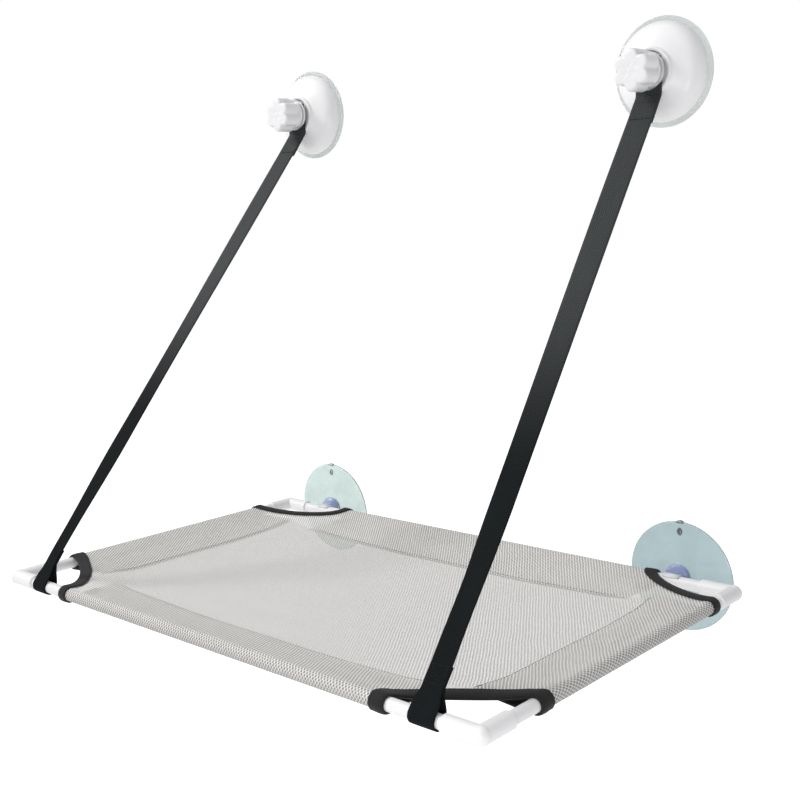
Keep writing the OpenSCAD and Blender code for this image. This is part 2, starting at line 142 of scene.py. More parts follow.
def droop(x, d):
    """How far the cloth's cut edges curl down between the tubes."""
    a, total = HALF_W - np.abs(x), 0.0
    for side, front, cut, most in CURLS:
        b = AXIS_D - d if front else d
        along = np.clip(0.5 * (1 - a / cut[0]) + 0.5 * b / cut[1], 0, 1)
        near = 1 - ramp(chord(cut, a, b), 0, CURL_IN)
        total = total + np.where(np.sign(x) == side, most * np.sin(np.pi * along) ** 0.8 * near**1.3, 0)
    return total


# a faint crease across the sheet: its depth, middle (x, d), half length and half width
CREASE, CREASE_X, CREASE_D, CREASE_L, CREASE_W = 0.5, -40, 236, 120, 9
# how far from the edges, and from the side tubes, the waves are at their full height
CALM_IN, CALM_SIDE = 30, 40


def panel(x, d):
    """Height of the middle of the sling's cloth above the tube axes, with small waves away from its edges."""
    x, d = np.asarray(x, float), np.asarray(d, float)
    e = edge(x, d)
    rise = (SKIN + HALF_CLOTH) * np.maximum(0, 1 - e / HEM)
    calm = ramp(e, 0, CALM_IN) * ramp(np.abs(x), HALF_W, HALF_W - CALM_SIDE)
    off = ((d - CREASE_D) / CREASE_W) ** 2 + ((x - CREASE_X) / CREASE_L) ** 2
    crease = CREASE * np.exp(-off)
    drift = 0.22 * np.sin(x / 23 + 1.3 * np.sin(d / 41)) + 0.18 * np.sin(d / 17 + x / 61)
    return rise - HALF_CLOTH + sag(x, d) + calm * (drift - crease) - droop(x, d)


def once_round(count):
    return np.linspace(0, 2 * pi, count, endpoint=False)


def add(name, data):
    """Puts a new object into the scene."""
    obj = bpy.data.objects.new(name, data)
    bpy.context.scene.collection.objects.link(obj)
    return obj


# flat coordinates of a turned piece, once round
LATHE_ROUND = 200


class Build:
    """Gathers grids of points into one mesh, in millimetres."""

    def __init__(self):
        self.points, self.faces, self.uvs = [], [], []

    def grid(self, points, uv=None, ring=False, flip=False):
        """points is rows x columns x 3. ring joins the last column to the first, and uv has one more."""
        points = np.asarray(points, float)
        rows, cols = points.shape[:2]
        base = len(self.points)
        self.points += points.reshape(-1, 3).tolist()
        if uv is None:
            uv = pairs(np.arange(cols + 1), np.arange(rows))
        for i in range(rows - 1):
            for j in range(cols if ring else cols - 1):
                k = (j + 1) % cols
                low, high = base + i * cols, base + (i + 1) * cols
                face = [low + j, low + k, high + k, high + j]
                corner = [uv[i][j], uv[i][j + 1], uv[i + 1][j + 1], uv[i + 1][j]]
                if flip:
                    face, corner = face[::-1], corner[::-1]
                self.faces.append(face)
                self.uvs += [list(map(float, c)) for c in corner]
        return self

    def lathe(self, profile, x, z, segments):
        """Turns a profile of (radius, distance from the window) round an axis square to the window."""
        profile = np.asarray(profile, float)
        turn = once_round(segments)
        r, h = profile[:, :1], profile[:, 1:]
        points = np.stack([r * np.cos(turn), r * np.sin(turn), h + 0 * turn], -1)
        uv = pairs(np.linspace(0, LATHE_ROUND, segments + 1), along_line(profile))
        return self.grid(on_window(points, x, z), uv, ring=True)

    def make(self, name, material, merge=0.004):
        """Makes the object. merge is how near points are joined, or None."""
        mesh = bpy.data.meshes.new(name)
        mesh.from_pydata((np.array(self.points) * MM).tolist(), [], self.faces)
        layer = mesh.uv_layers.new(name="flat")
        layer.data.foreach_set("uv", np.array(self.uvs, np.float32).ravel())
        obj = add(name, mesh)
        if merge:
            work = bmesh.new()
            work.from_mesh(mesh)
            bmesh.ops.remove_doubles(work, verts=work.verts, dist=merge * MM)
            bmesh.ops.dissolve_degenerate(work, edges=work.edges, dist=1e-7)
            work.to_mesh(mesh)
            work.free()
        mesh.polygons.foreach_set("use_smooth", [True] * len(mesh.polygons))
        mesh.materials.append(material)
        mesh.update()
        return obj


def fillet(points, radii, steps):
    """Rounds the corners of an open line in a plane, by one radius for each point."""
    points = [np.array(p, float) for p in points]
    out = [points[0]]
    for i in range(1, len(points) - 1):
        r, (a, b, c) = radii[i], points[i - 1 : i + 2]
        u, v = a - b, c - b
        lu, lv = np.linalg.norm(u), np.linalg.norm(v)
        if r <= 0 or min(lu, lv) < TINY:
            out.append(b)
            continue
        half = acos(np.clip(np.dot(u, v) / lu / lv, -1, 1)) / 2
        cut = min(r / max(tan(half), TINY), 0.49 * lu, 0.49 * lv)
        p, q = b + u / lu * cut, b + v / lv * cut
        out += [(1 - t) ** 2 * p + 2 * t * (1 - t) * b + t * t * q for t in np.linspace(0, 1, steps)]
    out.append(points[-1])
    return np.array(out)


def on_window(points, x, z):
    """Points given as (across, up, out from the window), in the row frame."""
    p = np.asarray(points, float)
    return np.stack([x + p[..., 0], -p[..., 2], z + p[..., 1]], -1)


def along_line(points):
    """Distances of the points along their line."""
    return np.concatenate([[0], np.cumsum(np.linalg.norm(np.diff(points, axis=0), axis=1))])


def resample(points, step):
    """Points evenly spaced along a line."""
    points = np.asarray(points, float)
    s = along_line(points)
    at = np.linspace(0, s[-1], max(2, int(round(s[-1] / step)) + 1))
    return np.stack([np.interp(at, s, column) for column in points.T], -1)


# rings of a stitch: place along it, share of its thickness, and how deep it sinks
STITCH_RINGS = ((-0.5, 0.3, 0.75), (-0.42, 0.85, 0.35), (0, 1, 0), (0.42, 0.85, 0.35), (0.5, 0.3, 0.75))


def stitches(build, line, ups, pitch, length, thick, across=0.0):
    """A run of stitches along a line. ups is the way that they stand proud, or one for each point."""
    both = resample(np.concatenate([line, np.broadcast_to(ups, np.shape(line))], 1), pitch)
    turn = once_round(6)
    for i in range(len(both) - 1):
        p, q = both[i, :3], both[i + 1, :3]
        up = both[i, 3:] + both[i + 1, 3:]
        up /= np.linalg.norm(up)
        way = (q - p) / np.linalg.norm(q - p)
        side = np.cross(way, up)
        shift = side * across * (1 if i % 2 else -1)
        mid = (p + q) / 2 + shift
        lean = way + shift * 0.5
        rings = []
        for s, r, sink in STITCH_RINGS:
            centre = mid + lean * s * length - up * sink * thick
            rings.append([centre + thick * r * (cos(t) * side + sin(t) * up) for t in turn])
        build.grid(rings, ring=True)


# Materials


class Mat:
    """A node material, or the world, with short calls for the nodes."""

    def __init__(self, name, world=False):
        self.mat = (bpy.data.worlds if world else bpy.data.materials).new(name)
        self.mat.use_nodes = True
        self.tree = self.mat.node_tree
        self.tree.nodes.clear()
        self.out = self.node("OutputWorld" if world else "OutputMaterial")

    def node(self, kind, inputs=None, **settings):
        n = self.tree.nodes.new("ShaderNode" + kind)
        for key, value in settings.items():
            setattr(n, key, value)
        for key, value in (inputs or {}).items():
            if isinstance(value, bpy.types.NodeSocket):
                self.tree.links.new(value, n.inputs[key])
            elif value is not None:
                n.inputs[key].default_value = value
        return n

    def maths(self, operation, a, b=0.0, clamp=False):
        return self.node("Math", {0: a, 1: b}, operation=operation, use_clamp=clamp).outputs[0]

    def times(self, a, b, clamp=False):
        return self.maths("MULTIPLY", a, b, clamp=clamp)

    def plus(self, a, b, clamp=False):
        return self.maths("ADD", a, b, clamp=clamp)

    def minus(self, a, b):
        return self.maths("SUBTRACT", a, b)

    def object_at(self):
        return self.node("TexCoord").outputs["Object"]

    def flat(self):
        """Flat coordinates, in millimetres."""
        return self.node("UVMap", uv_map="flat").outputs[0]

    def noise(self, at, scale, detail, roughness):
        """scale is a number, or one for each axis."""
        if isinstance(scale, tuple):
            at, scale = self.node("Mapping", {"Vector": at, "Scale": scale}).outputs[0], 1.0
        inputs = {"Vector": at, "Scale": scale, "Detail": detail, "Roughness": roughness}
        return self.node("TexNoise", inputs).outputs["Fac"]

    def wave(self, at, scale, distortion, detail_scale=1.0):
        inputs = {"Vector": at, "Scale": scale, "Distortion": distortion, "Detail Scale": detail_scale}
        return self.node("TexWave", inputs, bands_direction="DIAGONAL").outputs["Fac"]

    def span(self, value, low, high, a=0.0, b=1.0):
        inputs = {"Value": value, "From Min": low, "From Max": high, "To Min": a, "To Max": b}
        return self.node("MapRange", inputs).outputs[0]

    def vary(self, noise, a, b):
        """Spreads a noise, which lies mostly between 0.3 and 0.7, from a to b."""
        return self.span(noise, 0.3, 0.7, a, b)

    def smooth(self, value, low, high):
        inputs = {"Value": value, "From Min": low, "From Max": high}
        return self.node("MapRange", inputs, interpolation_type="SMOOTHSTEP").outputs[0]

    def mix(self, factor, a, b):
        """Mixes two colours, whose sockets are 6 and 7."""
        return self.node("Mix", {0: factor, 6: a, 7: b}, data_type="RGBA").outputs[2]

    def bump(self, height, strength, distance, normal=None):
        inputs = {"Height": height, "Strength": strength, "Distance": distance, "Normal": normal}
        return self.node("Bump", inputs).outputs[0]

    def principled(self, **inputs):
        named = {k.replace("_", " "): v for k, v in inputs.items()}
        return self.node("BsdfPrincipled", named).outputs[0]

    def blend(self, share, first, second):
        return self.node("MixShader", {0: share, 1: first, 2: second}).outputs[0]

    def axis(self, at, index):
        """One coordinate of a vector: 0, 1 or 2."""
        return self.node("SeparateXYZ", {0: at}).outputs[index]

    def done(self, shader):
        self.tree.links.new(shader, self.out.inputs["Surface"])
        return self.mat

    def surface(self, **inputs):
        return self.done(self.principled(**inputs))


def rgb(r, g, b):
    return (r, g, b, 1.0)


def grey(value):
    return rgb(value, value, value)


def scaled(colour, share):
    return rgb(*(c * share for c in colour[:3]))


def plastic(name, colour, shade, roughness, grain, soft=0.0):
    """Moulded plastic: faint flow marks, a fine grain, and small scuffs that take some of the shine."""
    m = Mat(name)
    at = m.object_at()
    flow = m.noise(at, 26, 4, 0.6)
    fine = m.noise(at, 1500, 2, 0.6)
    marks = m.smooth(m.noise(at, (90, 90, 420), 5, 0.7), 0.62, 0.74)
    tone = m.mix(m.times(flow, 0.9), colour, shade)
    tone = m.mix(m.times(marks, 0.04), tone, grey(0.45))
    rough = m.vary(flow, roughness - 0.05, roughness + 0.06)
    rough = m.plus(rough, m.times(marks, 0.12))
    normal = m.bump(fine, grain, 0.00006, m.bump(flow, 0.05, 0.002))
    return m.surface(
        Base_Color=tone,
        Roughness=rough,
        IOR=1.47,
        Normal=normal,
        Subsurface_Weight=soft,
        Subsurface_Radius=(0.004, 0.0038, 0.0036),
        Coat_Weight=0.12,
        Coat_Roughness=0.2,
    )


def clear(name, colour, film, roughness, haze, painted_left_light=False, ghost=0.0):
    """Clear soft plastic with a film of dust that scatters light. ghost lets some light straight through."""
    m = Mat(name)
    at = m.object_at()
    cloud = m.noise(at, 38, 4, 0.55)
    specks = m.noise(at, 900, 2, 0.6)
    if painted_left_light:
        # painted light: the cup on the left is made lighter and greener, standing in for the light it
        # reflects
        left = m.smooth(m.axis(at, 0), 0.05, -0.05)
        colour = m.mix(left, colour, rgb(0.74, 0.86, 0.83))
        film = m.mix(left, film, rgb(0.62, 0.73, 0.71))
    glass = m.principled(
        Base_Color=colour,
        Roughness=m.vary(cloud, roughness * 0.7, roughness * 1.4),
        IOR=1.45,
        Transmission_Weight=1.0,
        Normal=m.bump(specks, 0.05, 0.00005, m.bump(cloud, 0.1, 0.0008)),
    )
    dust = m.principled(Base_Color=film, Roughness=0.6)
    share = m.times(m.smooth(cloud, 0.3, 0.8), haze * 0.22)
    body = m.blend(m.plus(share, haze * 0.8, clamp=True), glass, dust)
    if ghost:
        straight = m.node("BsdfTransparent", {"Color": rgb(0.97, 1.0, 0.99)}).outputs[0]
        through = m.vary(cloud, ghost - 0.05, ghost + 0.05)
        body = m.blend(through, body, straight)
    return m.done(body)


def clip_plastic(name):
    """Tinted foot that fades into nearly clear jaws in front of it."""
    m = Mat(name)
    at = m.object_at()
    cloud = m.noise(at, 60, 4, 0.55)
    depth = m.plus(m.axis(at, 1), m.vary(cloud, -0.0006, 0.0006))
    tinted = m.smooth(depth, -0.0118, -0.0104)
    normal = m.bump(m.noise(at, 1200, 2, 0.6), 0.1, 0.00005)
    tint = m.principled(
        Base_Color=m.mix(cloud, rgb(0.40, 0.48, 0.74), rgb(0.33, 0.41, 0.68)),
        Roughness=m.vary(cloud, 0.2, 0.32),
        IOR=1.47,
        Transmission_Weight=0.35,
        Subsurface_Weight=0.1,
        Normal=normal,
    )
    pale = m.principled(
        Base_Color=m.mix(cloud, rgb(0.88, 0.88, 0.91), rgb(0.84, 0.85, 0.89)),
        Roughness=m.vary(cloud, 0.22, 0.34),
        IOR=1.4,
        Transmission_Weight=0.1,
        Normal=normal,
    )
    return m.done(m.blend(tinted, pale, tint))


def metal(name, colour, roughness, lines):
    """Turned metal: fine rings from the tool and a soft cloud."""
    m = Mat(name)
    at = m.object_at()
    grain = m.noise(at, lines, 3, 0.6)
    cloud = m.noise(at, 120, 3, 0.5)
    tone = m.mix(m.vary(grain, 0.0, 0.5), colour, scaled(colour, 0.72))
    rough = m.vary(cloud, roughness - 0.06, roughness + 0.08)
    return m.surface(Base_Color=tone, Metallic=1.0, Roughness=rough, Normal=m.bump(grain, 0.25, 0.00008))


# a cell of the knit, with two holes, and half a hole as shares of the cell
CELL_X, CELL_Y = 2.9, 4.15
HOLE_X_SHARE, HOLE_Y_SHARE = 0.238, 0.235


def mesh_cloth(name):
    """Knitted mesh: staggered holes between zigzag ribs of pale yarn, two to a cell."""
    m = Mat(name)
    flat = m.flat()
    sway = m.noise(flat, (0.03, 0.03, 1), 2, 0.5)
    x, y = m.axis(flat, 0), m.axis(flat, 1)
    u = m.plus(m.times(x, 1 / CELL_X), m.vary(sway, -0.12, 0.12))
    v = m.plus(m.times(y, 1 / CELL_Y), m.vary(sway, 0.06, -0.06))

    def hole_at(shift):
        """Distance from the nearest hole of one row, 1 at its rim."""
        squares = []
        for place, share in ((u, HOLE_X_SHARE), (v, HOLE_Y_SHARE)):
            off = m.times(m.minus(m.maths("FRACT", m.plus(place, shift)), 0.5), 1 / share)
            squares.append(m.times(off, off))
        return m.maths("SQRT", m.plus(*squares))

    near = m.maths("MINIMUM", hole_at(0.0), hole_at(0.5))
    fuzz = m.noise(flat, 3.6, 2, 0.6)
    near = m.plus(near, m.vary(fuzz, -0.12, 0.12))
    # past is the flat distance beyond the tubes' axes, and less than nothing on the sheet between them
    past = m.minus(m.maths("ABSOLUTE", x), HALF_W)
    past = m.maths("MAXIMUM", past, m.minus(y, AXIS_D))
    past = m.maths("MAXIMUM", past, m.times(y, -1.0))
    hem = m.smooth(past, 15.0, 19.0)
    # the holes show less where the cloth is doubled
    double = m.smooth(past, -HEM - 0.5, -HEM + 0.5)
    hole = m.times(m.smooth(near, 1.08, 0.88), m.span(double, 0, 1, 0.60, 0.44))
    yarn = m.wave(flat, 1.0, 2.5, 1.6)
    soil = m.noise(flat, (0.02, 0.02, 1), 4, 0.6)
    rib = m.smooth(near, 0.95, 1.35)
    # painted shade: the dark tone in and round the holes stands for shade seen through them; over the doubled
    # band this dark and the yarn are painted lighter, painted light against the shaded hem beneath
    yarn_tone_band_lit = m.mix(double, rgb(0.68, 0.657, 0.628), rgb(0.94, 0.91, 0.878))
    tone = m.mix(rib, m.mix(double, rgb(0.31, 0.30, 0.295), rgb(0.40, 0.39, 0.382)), yarn_tone_band_lit)
    # painted shade: the cloth going round the outer side and underside of the tubes is darker
    wrap_shade = m.minus(m.smooth(past, 1.0, 13.0), hem)
    tone = m.mix(m.times(wrap_shade, 0.55, clamp=True), tone, rgb(0.34, 0.315, 0.31))
    tone = m.mix(m.span(yarn, 0.2, 0.8, 0.10, 0.0), tone, rgb(0.48, 0.47, 0.46))
    tone = m.mix(m.span(soil, 0.45, 0.75, 0.0, 0.12), tone, rgb(0.42, 0.41, 0.38))
    height = m.plus(m.times(rib, 0.7), m.times(yarn, 0.3))
    cloth = m.principled(
        Base_Color=tone,
        Roughness=m.span(yarn, 0.0, 1.0, 0.62, 0.8),
        Sheen_Weight=0.25,
        Sheen_Roughness=0.5,
        Normal=m.bump(height, 0.6, 0.0005),
    )
    return m.done(m.blend(hole, cloth, m.node("BsdfTransparent").outputs[0]))


def webbing(name, colour, light, rows, columns, sheen, shade_along=None):
    """Woven tape: rows of weft, columns of warp and a little lint. Its last argument is where along it it
    gets darker, as painted shade.
    """
    m = Mat(name)
    flat = m.flat()
    across, along = m.axis(flat, 0), m.axis(flat, 1)
    cell = m.maths("ABSOLUTE", m.minus(m.maths("FRACT", m.times(across, 1 / columns)), 0.5))
    chevron = m.plus(m.times(along, 1 / rows), m.times(cell, 1.1))
    pick = m.maths("SINE", m.times(chevron, 2 * pi))
    warp = m.maths("SINE", m.times(across, 2 * pi * 2 / columns))
    weave = m.plus(m.span(pick, -1, 1, 0, 0.6), m.span(warp, -1, 1, 0, 0.4))
    lint = m.noise(flat, (0.9, 0.12, 1), 5, 0.7)
    wear = m.noise(flat, (0.05, 0.015, 1), 3, 0.6)
    tone = m.mix(m.span(weave, 0.25, 0.85, 0.0, 0.75), colour, light)
    tone = m.mix(m.span(lint, 0.5, 0.8, 0.0, 0.35), tone, light)
    tone = m.mix(m.span(wear, 0.45, 0.8, 0.0, 0.2), tone, scaled(light, 1.6))
    shine, gloss = sheen, 0.22
    if shade_along:
        # painted shade: darker towards the front tube, with its sheen and shine taken away there
        low = m.smooth(along, *shade_along)
        tone = m.mix(m.times(low, 0.72), tone, scaled(colour, 0.5))
        shine, gloss = m.span(low, 0, 1, sheen, 0.0), m.span(low, 0, 1, 0.4, 0.05)
    return m.surface(
        Base_Color=tone,
        Roughness=m.span(weave, 0, 1, 0.85, 0.62),
        Sheen_Weight=shine,
        Specular_IOR_Level=gloss,
        Sheen_Roughness=0.45,
        Normal=m.bump(weave, 0.7, 0.00035, m.bump(lint, 0.25, 0.0002)),
    )


def thread(name, colour, pale=0.2):
    m = Mat(name)
    at = m.object_at()
    ply = m.wave(at, 700.0, 1.0)
    lint = m.noise(at, 2600, 2, 0.6)
    tone = m.mix(m.span(ply, 0, 1, 0.0, 0.5), colour, scaled(colour, 0.5))
    tone = m.mix(m.span(lint, 0.5, 0.9, 0, pale), tone, grey(0.6))
    return m.surface(
        Base_Color=tone,
        Roughness=m.vary(lint, 0.6, 0.85),
        Sheen_Weight=pale,
        Specular_IOR_Level=0.1 + pale,
        Normal=m.bump(ply, 0.5, 0.0002),
    )


WHITE = plastic("white_plastic", rgb(0.93, 0.92, 0.935), rgb(0.90, 0.89, 0.90), 0.34, 0.25, soft=0.12)
KNOB = plastic("knob_plastic", rgb(0.875, 0.86, 0.88), rgb(0.845, 0.835, 0.845), 0.3, 0.2, soft=0.15)
ELBOW = plastic("elbow_plastic", rgb(0.91, 0.90, 0.91), rgb(0.88, 0.87, 0.875), 0.36, 0.3, soft=0.1)
COAT = plastic("tube_coat", rgb(0.87, 0.865, 0.87), rgb(0.84, 0.835, 0.84), 0.42, 0.6)
CUP = clear("clear_cup", rgb(0.50, 0.62, 0.64), rgb(0.385, 0.49, 0.52), 0.12, 0.30, painted_left_light=True)
# painted shade: dark clear plastic for the oval that stands in for the lower cups' shadowed recess
CUP_PAINTED_SHADE = clear("clear_cup_painted_shade", rgb(0.2, 0.26, 0.32), rgb(0.05, 0.08, 0.11), 0.2, 0.5)
RIM = clear("clear_rim", rgb(0.97, 0.99, 0.98), rgb(0.93, 0.955, 0.945), 0.1, 0.3, ghost=0.45)
CLIP = clip_plastic("clip_plastic")
STEEL = metal("steel", rgb(0.90, 0.90, 0.91), 0.34, (60, 400, 60))
BRASS = metal("insert_metal", rgb(0.75, 0.58, 0.28), 0.3, (300, 60, 300))
MESH = mesh_cloth("mesh")
WEB_DARK, WEB_LIGHT = rgb(0.009, 0.0112, 0.0125), rgb(0.030, 0.037, 0.040)
WEB = webbing("webbing", WEB_DARK, WEB_LIGHT, 1.7, 4.0, 0.12, shade_along=(260.0, 430.0))
TAPE = webbing("tape", grey(0.007), rgb(0.026, 0.025, 0.025), 1.1, 2.2, 0.1)
HEM_THREAD = thread("hem_thread", rgb(0.17, 0.17, 0.165))
DARK_THREAD = thread("dark_thread", rgb(0.010, 0.010, 0.011), 0.03)


# Sling


def cut_depth(cut, a):
    """How deep a cut is at the distance a from the corner of the tube axes."""
    c = cut_edge(cut, 0, np.linspace(1, 0, 4001))
    return np.where(a >= cut[0], 0.0, np.interp(a, c[:, 0], c[:, 1]))


# the sheet's columns: where the even ones start from the side, their step, and the least gap between two
EVEN_FROM, COLUMN_STEP, COLUMN_GAP = 92, 6, 0.5


def columns():
    """Places of the sheet's columns across the frame, closer together at the cuts."""
    t = np.linspace(0, 1, 17)
    a = [cut_edge(cut, 0, t)[:, 0] for cut in (FRONT_CUT, *BACK_CUTS.values())]
    a = np.concatenate([*a, np.arange(EVEN_FROM, HALF_W, COLUMN_STEP), [HEM]])
    kept = []
    for value in sorted(a):
        fixed = min(abs(value - f) for f in (0, FRONT_CUT[0], BACK_CUTS[-1][0], BACK_CUTS[1][0])) < TINY
        if fixed and kept and value - kept[-1] < COLUMN_GAP and kept[-1] > 0:
            kept.pop()
        if not kept or value - kept[-1] > COLUMN_GAP:
            kept.append(float(value))
    half = HALF_W - np.array(kept)
    return np.concatenate([-half, half[::-1]])


# how far the hem lies under the sheet at the seam
HEM_UNDER = 1.1


def hem_height(e, seam):
    """Height of the folded-under hem, from the tube's underside to the seam."""
    return -SKIN + (seam - HEM_UNDER + SKIN) * (e / HEM)


def sling():
    """The sheet, its turns round the tubes and the hems under it, and its flat area in square metres."""
    x = columns()
    a = HALF_W - np.abs(x)
    low = np.where(x > 0, cut_depth(BACK_CUTS[1], a), cut_depth(BACK_CUTS[-1], a))
    high = AXIS_D - cut_depth(FRONT_CUT, a)
    share = np.linspace(0, 1, 91)[:, None]
    d = low + (high - low) * share
    xs = np.broadcast_to(x, d.shape)
    build = Build().grid(framed(xs, d, panel(xs, d)), np.stack([xs, d], -1))
    turn = np.linspace(pi / 2, -pi / 2, 15)
    fold = np.linspace(0, HEM, 14)[1:]
    past = np.concatenate([SKIN * np.cos(turn), -fold])
    flat = np.concatenate([SKIN * (pi / 2 - turn), SKIN * pi + fold])

    def heights(seam):
        return [SKIN * sin(t) for t in turn] + [hem_height(e, seam) for e in fold]

    for end, left_cut, right_cut in ((1, FRONT_CUT, FRONT_CUT), (-1, BACK_CUTS[-1], BACK_CUTS[1])):
        u = x[a >= np.where(x > 0, right_cut[0], left_cut[0]) - TINY]
        base = AXIS_D if end > 0 else 0.0
        seam = panel(u, np.full_like(u, base - end * HEM))
        rows = [framed(u, base + end * p, h) for p, h in zip(past, heights(seam))]
        build.grid(rows, pairs(u, base + end * flat), flip=end < 0)
    for side, column in ((-1, 0), (1, -1)):
        w = d[:, column]
        seam = panel(np.full_like(w, HALF_W - HEM), w)
        rows = [framed(side * (HALF_W + p), w, h) for p, h in zip(past, heights(seam))]
        uv = np.stack(np.meshgrid(side * (HALF_W + flat), w, indexing="ij"), -1)
        build.grid(rows, uv, flip=side > 0)
    area = sum(flat_area(build.uvs[i : i + 4]) for i in range(0, len(build.uvs), 4))
    return build.make("sling", MESH), area * MM * MM


def flat_area(corners):
    """Area of a face in flat coordinates."""
    c = np.array(corners)
    n = np.roll(c, -1, 0)
    return abs(float(np.sum(c[:, 0] * n[:, 1] - c[:, 1] * n[:, 0]))) / 2


sling_piece, sling_area = sling()
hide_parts("sling_panel", "front_sleeve", "back_sleeve", "left_sleeve", "right_sleeve")
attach(sling_piece, "frame")


def hem_seam():
    """Stitches where the hems are sewn to the sheet, a little inside the hems' edges."""
    build = Build()
    inset = HEM - 2.0

    def row(u, w):
        line = framed(u, w, panel(u, w) + 0.12)
        stitches(build, line, [0, 0, 1], pitch=3.1, length=2.3, thick=0.3)

    for base, way, cuts in ((AXIS_D, -1, {-1: FRONT_CUT, 1: FRONT_CUT}), (0.0, 1, BACK_CUTS)):
        u = np.linspace(-(HALF_W - cuts[-1][0] - TAPE_W), HALF_W - cuts[1][0] - TAPE_W, 90)
        row(u, np.full_like(u, base + way * inset))
    for side in (-1, 1):
        w = np.linspace(BACK_CUTS[side][1] + TAPE_W, AXIS_D - FRONT_CUT[1] - TAPE_W, 60)
        row(np.full_like(w, side * (HALF_W - inset)), w)
    return build.make("hem_stitching", HEM_THREAD, merge=None)


seam_piece = hem_seam()
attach(seam_piece, "frame")

# Binding tapes

# the folded tape's section from its upper edge to the fold: distance inward, height above the cloth's middle
HALF_SECTION = [(10.0, 0.7), (9.8, 1.2), (9.3, 1.5), (8.2, 1.4), (6.6, 1.6)]
HALF_SECTION += [(4.4, 1.75), (2.1, 1.7), (0.5, 1.35), (-0.35, 0.8), (-0.6, 0.0)]
SECTION = np.array(HALF_SECTION + [(i, -o) for i, o in HALF_SECTION[-2::-1]])
# where the stitches run on the section, and a second height there, for the way up
SEWN_IN, SEWN_OFFS = 8.2, (1.38, 2.3)


def tape_path(under):
    """Samples (kind, value) along the cloth's edge of one corner, from the end hem to the side hem."""
    parts = (
        ("end_hem", under, 0, 9),
        ("end_turn", -pi / 2, pi / 2, 15),
        ("cut", 0, 1, 41),
        ("side_turn", pi / 2, -pi / 2, 15),
        ("side_hem", 0, under, 9),
    )
    steps = [(kind, value) for kind, low, high, count in parts for value in np.linspace(low, high, count)[1:]]
    return [("end_hem", under)] + steps


def tape_point(side, front, cut, kind, value, inward, off):
    """A point of the tape. inward is from the cloth's edge, off is above the cloth's middle."""

    def height(a, b):
        return float(panel(side * (HALF_W - a), AXIS_D - b if front else b))

    # round a tube the underside is pressed flat
    r = SKIN + (off if off > 0 else off * 0.4)
    if kind == "cut":
        a, b = cut_edge(cut, max(0.0, inward), value)
        if inward < 0:
            step = cut_edge(cut, 1.0, value) - cut_edge(cut, 0.0, value)
            a, b = a + step[0] * inward, b + step[1] * inward
        # the underside is thinner where it reaches the tubes
        by_tube = abs(value - 0.5) * 2 > 0.94
        h = height(a, b) + off * (0.62 if off < 0 and by_tube else 1.0)
    elif kind == "end_turn":
        a, b, h = cut[0] + inward, -r * cos(value), r * sin(value)
    elif kind == "side_turn":
        a, b, h = -r * cos(value), cut[1] + inward, r * sin(value)
    elif kind == "end_hem":
        a, b = cut[0] + inward, value
        h = float(hem_height(value, height(a, HEM))) - off
    else:
        a, b = value, cut[1] + inward
        h = float(hem_height(value, height(HEM, b))) - off
    return framed(side * (HALF_W - a), AXIS_D - b if front else b, h)


# the share of a cut along which a pucker fades
PUCKER = 0.3


def spread(kind, value, extra):
    """How much wider the tape lies where it puckers over the end tube and the side tube."""
    if kind == "cut":
        near = [ramp(value, PUCKER, 0), ramp(1 - value, PUCKER, 0)]
    else:
        near = [float(kind.startswith("end")), float(kind.startswith("side"))]
    return 1 + sum(e * eased(n) for e, n in zip(extra, near))


def tape(name, side, front, under, extra):
    """The tape of one corner and its stitches, extra being its added width over the end and side tubes."""
    cut = FRONT_CUT if front else BACK_CUTS[side]
    rows, sewn, ups = [], [], []
    for i, (kind, value) in enumerate(tape_path(under)):
        wave = 0.22 * sin(i * 2.2) + 0.12 * sin(i * 5.1 + side)
        row = []
        wide = spread(kind, value, extra)
        for inward, off in SECTION:
            deep = inward * (wide if inward > 0 else 1) + wave * max(0.0, inward / TAPE_W) ** 3
            row.append(tape_point(side, front, cut, kind, value, deep, off))
        rows.append(row)
        if kind in ("cut", "end_turn", "side_turn"):
            p, q = (tape_point(side, front, cut, kind, value, SEWN_IN * wide, o) for o in SEWN_OFFS)
            sewn.append(p)
            ups.append((q - p) / np.linalg.norm(q - p))
    rows = np.array(rows)
    uv = pairs(along_line(SECTION), along_line(rows[:, len(SECTION) // 2]))
    piece = Build().grid(rows, uv, flip=(side > 0) == front).make(name, TAPE)
    sew = Build()
    stitches(sew, sewn, ups, pitch=2.9, length=2.2, thick=0.3, across=0.35)
    thread_piece = sew.make(name + "_stitching", DARK_THREAD, merge=None)
    for obj in (piece, thread_piece):
        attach(obj, "frame")
    return piece, thread_piece


# for each tape: how far it goes on along the ends of the folded-under hems, and its extra width
TAPES = {
    "front_right": (50.0, (0.3, 0.35)),
    "front_left": (30.0, (0.0, 0.3)),
    "back_right": (18.0, (0.2, 0.0)),
    "back_left": (18.0, (0.0, 0.0)),
}
sling_extras = [seam_piece]
for hand, side in SIDES.items():
    for end_name in ("front", "back"):
        corner = f"{end_name}_{hand}"
        piece, sewing = tape(f"{corner}_tape", side, end_name == "front", *TAPES[corner])
        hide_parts(f"{corner}_binding")
        sling_extras += [piece, sewing]

# Straps

# the webbing, the sewn tail's end above the front tube, its sewn length, and the fold's length at the top
STRAP_W, STRAP_T, TAIL, SEWN, FOLD = 22.0, 1.4, 34.0, 14.0, 26.0
# the strap's inner face at the hub from the window, and the bend below the hub where the run starts
LAY = 23.3
TOP_Y, BEND_Z = -(LAY + 2 * STRAP_T), UPPER_Z - 19.5
FRONT_Y = -(TUBE_OFF + AXIS_D * cos(TILT))
# the loop's outer radius, and the distance from the front tube's axis to the bend
LOOP_OUT = 5.3 + STRAP_T
RUN = hypot(FRONT_Y - TOP_Y, RISE - BEND_Z)
